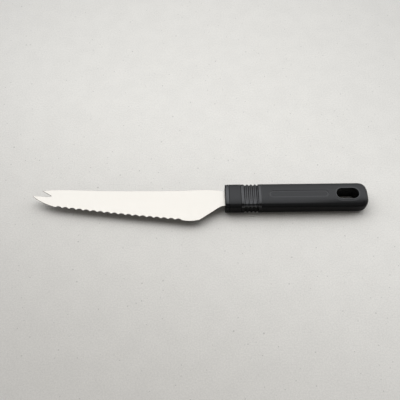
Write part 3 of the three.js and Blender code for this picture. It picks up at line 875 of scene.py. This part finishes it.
# Where the polish begins and ends, in mm, and how strong it is beside the slot and the recess
NOSE_SHINE = (0.5, 0.9)
LIP_FADE = 0.2
GRIP_FADE = 0.3
RIM_FADE = 0.1
RIM_POLISH = 0.7
BORDER_SHINE = (-0.85, -0.6)
BORDER_FADE = (0, 0.1)
BORDER_POLISH = 0.6

# Where the plastic is dull: on the nose, in mm from the front, and on walls, whose normals have an upward
# part below WALL_NORMAL, and below that less GRIP_NORMAL on the rings, whose slopes keep their shine.
# NORMAL_BLEND above that it is as glossy as elsewhere.
NOSE_DULL = (0.45, 0.75)
WALL_NORMAL = 0.5
GRIP_NORMAL = 0.4
NORMAL_BLEND = 0.35


def black_plastic():
    """Moulded plastic with a fine texture, polished on the lip, the rings, the slot's rim and a border inside
    the recess, and duller on upright walls and on the rounded nose than on its face"""
    material, tree, shader = new_material("black_plastic")
    place = drawing_place(tree)
    x, y, z = tree.parts(place)

    grip_end = RING_START + (RING_GROOVE_COUNT - 0.5) * RING_PITCH + STEP_RUN + STEP_BAND
    lip = tree.band(x, *NOSE_SHINE, LIP_LENGTH - LIP_FADE, LIP_LENGTH)
    rings = tree.band(x, COLLAR_LENGTH, COLLAR_LENGTH + GRIP_FADE, grip_end - GRIP_FADE, grip_end)
    from_slot = tree.outside(x, y, SLOT_START, SLOT_LENGTH, SLOT_WIDTH)
    rim = tree.smooth(from_slot, SLOT_BAND - RIM_FADE, SLOT_BAND + RIM_FADE, RIM_POLISH, 0)
    from_recess = tree.outside(x, y, PLAQUE_START, PLAQUE_LENGTH, PLAQUE_WIDTH)
    on_face = tree.math("GREATER_THAN", z, MID)
    border = tree.band(from_recess, *BORDER_SHINE, *BORDER_FADE)
    border = tree.math("MULTIPLY", border, BORDER_POLISH, on_face)
    polish = tree.math("MAXIMUM", lip, rings, rim, border)

    mottle = tree.noise(place, MOTTLE_SCALE, 3, 0.6)
    rough = tree.smooth(mottle, 0.3, 0.7, *TEXTURE_ROUGHNESS)
    smoother = tree.math("MULTIPLY", polish, tree.math("SUBTRACT", POLISH_ROUGHNESS, rough))
    tree.feed(shader.inputs["Roughness"], tree.math("ADD", rough, smoother))
    tree.feed(shader.inputs["Base Color"], tree.mix(mottle, *PLASTIC_TONES))

    wall_below = tree.math("SUBTRACT", WALL_NORMAL, tree.math("MULTIPLY", rings, GRIP_NORMAL))
    walls = upright(tree, wall_below, tree.math("ADD", wall_below, NORMAL_BLEND))
    dull = tree.math("MAXIMUM", walls, tree.smooth(x, *NOSE_DULL, 1, 0))
    gloss = tree.math("ADD", TEXTURE_GLOSS, tree.math("MULTIPLY", polish, POLISH_GLOSS))
    lost = tree.math("MULTIPLY", dull, tree.math("SUBTRACT", gloss, DULL_GLOSS))
    tree.feed(shader.inputs["Specular IOR Level"], tree.math("SUBTRACT", gloss, lost))
    shader.inputs["Specular Tint"].default_value = PLASTIC_TINT

    texture = tree.noise(place, TEXTURE_SCALE, 2, 0.6)
    strength = tree.math("MULTIPLY", tree.math("SUBTRACT", 1.0, polish), TEXTURE_STRENGTH)
    tree.feed(shader.inputs["Normal"], tree.relief(texture, strength, TEXTURE_DEPTH))
    return material


# Floor: its colours at the picture's lower left, over the rest of the picture and far out, and what light
# that has bounced off a matt surface meets. The colours at the lower left and far out are darker with painted
# shade, where the light falls off. Its size and the reaches of its two fades are in metres: the one runs
# along Y plus FADE_SLANT times X, the other outwards.
FLOOR_SHADED_LOWER_LEFT = (0.548, 0.534, 0.508)
FLOOR_MIDDLE = (0.904, 0.895, 0.863)
FLOOR_SHADED_FAR_OUT = (0.588, 0.588, 0.578)
FLOOR_BOUNCE = (0.13, 0.114, 0.098)
FLOOR_SIZE = 60
FADE_SLANT = 0.4
FADE_REACH = (-0.27, 0.1)
OUTWARD_SHAPE = (1, 0.75, 0)
OUTWARD_REACH = (0.05, 0.5)

# How far the floor lies below the knife, in mm
FLOOR_GAP = 0.02


def pale_floor():
    """Matt floor whose colour fades with painted shade towards the lower left of the picture and, evenly, far
    out, where the light falls off. Views of it, straight, mirrored or through glass, show this colour, and a
    ray that has bounced off a matt surface meets a weaker one."""
    material, tree, shader = new_material("pale_floor")
    place = tree.node("ShaderNodeTexCoord").outputs["Object"]
    x, y, _ = tree.parts(place)
    # Painted shade: darker towards the lower left and far out, where the light falls off
    rise = tree.math("ADD", y, tree.math("MULTIPLY", x, FADE_SLANT))
    near = tree.mix(tree.smooth(rise, *FADE_REACH), FLOOR_SHADED_LOWER_LEFT, FLOOR_MIDDLE)
    oval = tree.node("ShaderNodeVectorMath", {0: place, 1: OUTWARD_SHAPE}, operation="MULTIPLY").outputs[0]
    out = tree.node("ShaderNodeVectorMath", {0: oval}, operation="LENGTH").outputs["Value"]
    plain = tree.mix(tree.smooth(out, *OUTWARD_REACH), near, FLOOR_SHADED_FAR_OUT)

    # Fine fibres, sparse darker flecks and soft patches, each a factor on the plain colour
    fibres = tree.smooth(tree.noise(place, 900, 3, 0.8), 0.3, 0.7, 0.925, 1.055)
    flecks = tree.smooth(tree.noise(place, 520, 0), 0.16, 0.2, 0.75, 1)
    patches = tree.smooth(tree.noise(place, 60, 3, 0.6), 0.3, 0.7, 0.985, 1.015)
    grain = tree.math("MULTIPLY", fibres, flecks, patches)
    colour = tree.node("ShaderNodeVectorMath", {0: plain, 3: grain}, operation="SCALE").outputs[0]

    path = tree.node("ShaderNodeLightPath").outputs
    seen = tree.math("MAXIMUM", path["Is Camera Ray"], path["Is Glossy Ray"], path["Is Transmission Ray"])
    seen = tree.math("MULTIPLY", seen, tree.math("LESS_THAN", path["Diffuse Depth"], 0.5))
    tree.feed(shader.inputs["Base Color"], tree.mix(seen, FLOOR_BOUNCE, colour))
    shader.inputs["Roughness"].default_value = 0.9
    shader.inputs["Specular IOR Level"].default_value = 0
    return material


def make_floor():
    bpy.ops.mesh.primitive_plane_add(size=FLOOR_SIZE, location=(0, 0, -FLOOR_GAP * MM))
    floor = bpy.context.object
    floor.name = "floor"
    floor.data.materials.append(pale_floor())


# Light: an overcast tent whose brightness depends only on the angle from straight up towards the spine's
# side, so that it doesn't change along the knife. Each pair is such an angle in degrees and the brightness
# there: a broad bright strip behind the knife, brightest at 33 degrees, and a dim front of a warm tint. Low
# down, between two heights on a sphere of radius 1, it eases into an even and neutral horizon. The tint
# fades over FRONT_BLEND, in radians, to both sides of straight up.
TENT = [(-90, 0.42), (-70, 0.34), (-50, 0.1), (-20, 0.06), (-5, 0.1), (5, 1.42), (16, 2.15), (33, 2.3),
        (46, 1.6), (58, 0.8), (85, 0.35)]
HORIZON = 0.5
HORIZON_HEIGHTS = (0.12, 0.34)
FRONT_TINT = (1, 0.95, 0.89)
FRONT_BLEND = 0.2


def make_tent():
    """The tent's world: a colour ramp over the angle, from -90 degrees at its left end to 90 at its right"""
    world = bpy.data.worlds.new("tent")
    world.use_nodes = True
    tree = Tree(world)
    _, y, z = tree.parts(tree.node("ShaderNodeTexCoord").outputs["Generated"])
    angle = tree.math("ARCTAN2", y, z)
    place = tree.math("ADD", tree.math("DIVIDE", angle, math.pi), 0.5)
    ramp = tree.node("ShaderNodeValToRGB", {0: place})
    peak = max(level for _, level in TENT)
    elements = ramp.color_ramp.elements
    ramp.color_ramp.interpolation = "EASE"
    for _ in range(len(TENT) - 2):
        elements.new(0.5)
    for element, (degrees, level) in zip(elements, TENT):
        element.position = degrees / 180 + 0.5
        element.color = (level / peak,) * 3 + (1,)
    tent = tree.math("MULTIPLY", ramp.outputs["Color"], peak)
    low = tree.smooth(z, *HORIZON_HEIGHTS, 1, 0)
    to_horizon = tree.math("MULTIPLY", tree.math("SUBTRACT", HORIZON, tent), low)
    white = tree.math("MAXIMUM", tree.smooth(angle, -FRONT_BLEND, FRONT_BLEND), low)
    shader = world.node_tree.nodes["Background"]
    tree.feed(shader.inputs["Strength"], tree.math("ADD", tent, to_horizon))
    tree.feed(shader.inputs["Color"], tree.mix(white, FRONT_TINT, (1, 1, 1)))
    bpy.context.scene.world = world


# Camera: at the photograph's angle, from in front and above. HALF_VIEW is half the picture's width at AIM.
AZIMUTH = math.radians(-0.81)
ELEVATION = math.radians(60)
DISTANCE = 450
HALF_VIEW = 156
AIM = Vector((0.03, 3.62, 6.65)) * MM


def make_camera():
    back = Vector((math.sin(AZIMUTH) * math.cos(ELEVATION),
                   -math.cos(AZIMUTH) * math.cos(ELEVATION),
                   math.sin(ELEVATION)))
    data = bpy.data.cameras.new("camera")
    data.lens = data.sensor_width / 2 / (HALF_VIEW / DISTANCE)
    data.clip_start = 0.01
    data.clip_end = 100
    camera = bpy.data.objects.new("camera", data)
    camera.location = AIM + back * DISTANCE * MM
    camera.rotation_mode = "QUATERNION"
    camera.rotation_quaternion = (-back).to_track_quat("-Z", "Y")
    bpy.context.scene.collection.objects.link(camera)
    bpy.context.scene.camera = camera
    bpy.context.scene.view_settings.view_transform = "Standard"


def dress(piece, node, material):
    """A finished piece takes its material, its CAD node's place and the record's slot"""
    piece.data.materials.clear()
    piece.data.materials.append(material)
    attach(piece, "root")
    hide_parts(node)


make_camera()
make_tent()
make_floor()
dress(make_blade(), "blade", satin_steel())
dress(make_handle(), "handle", black_plastic())
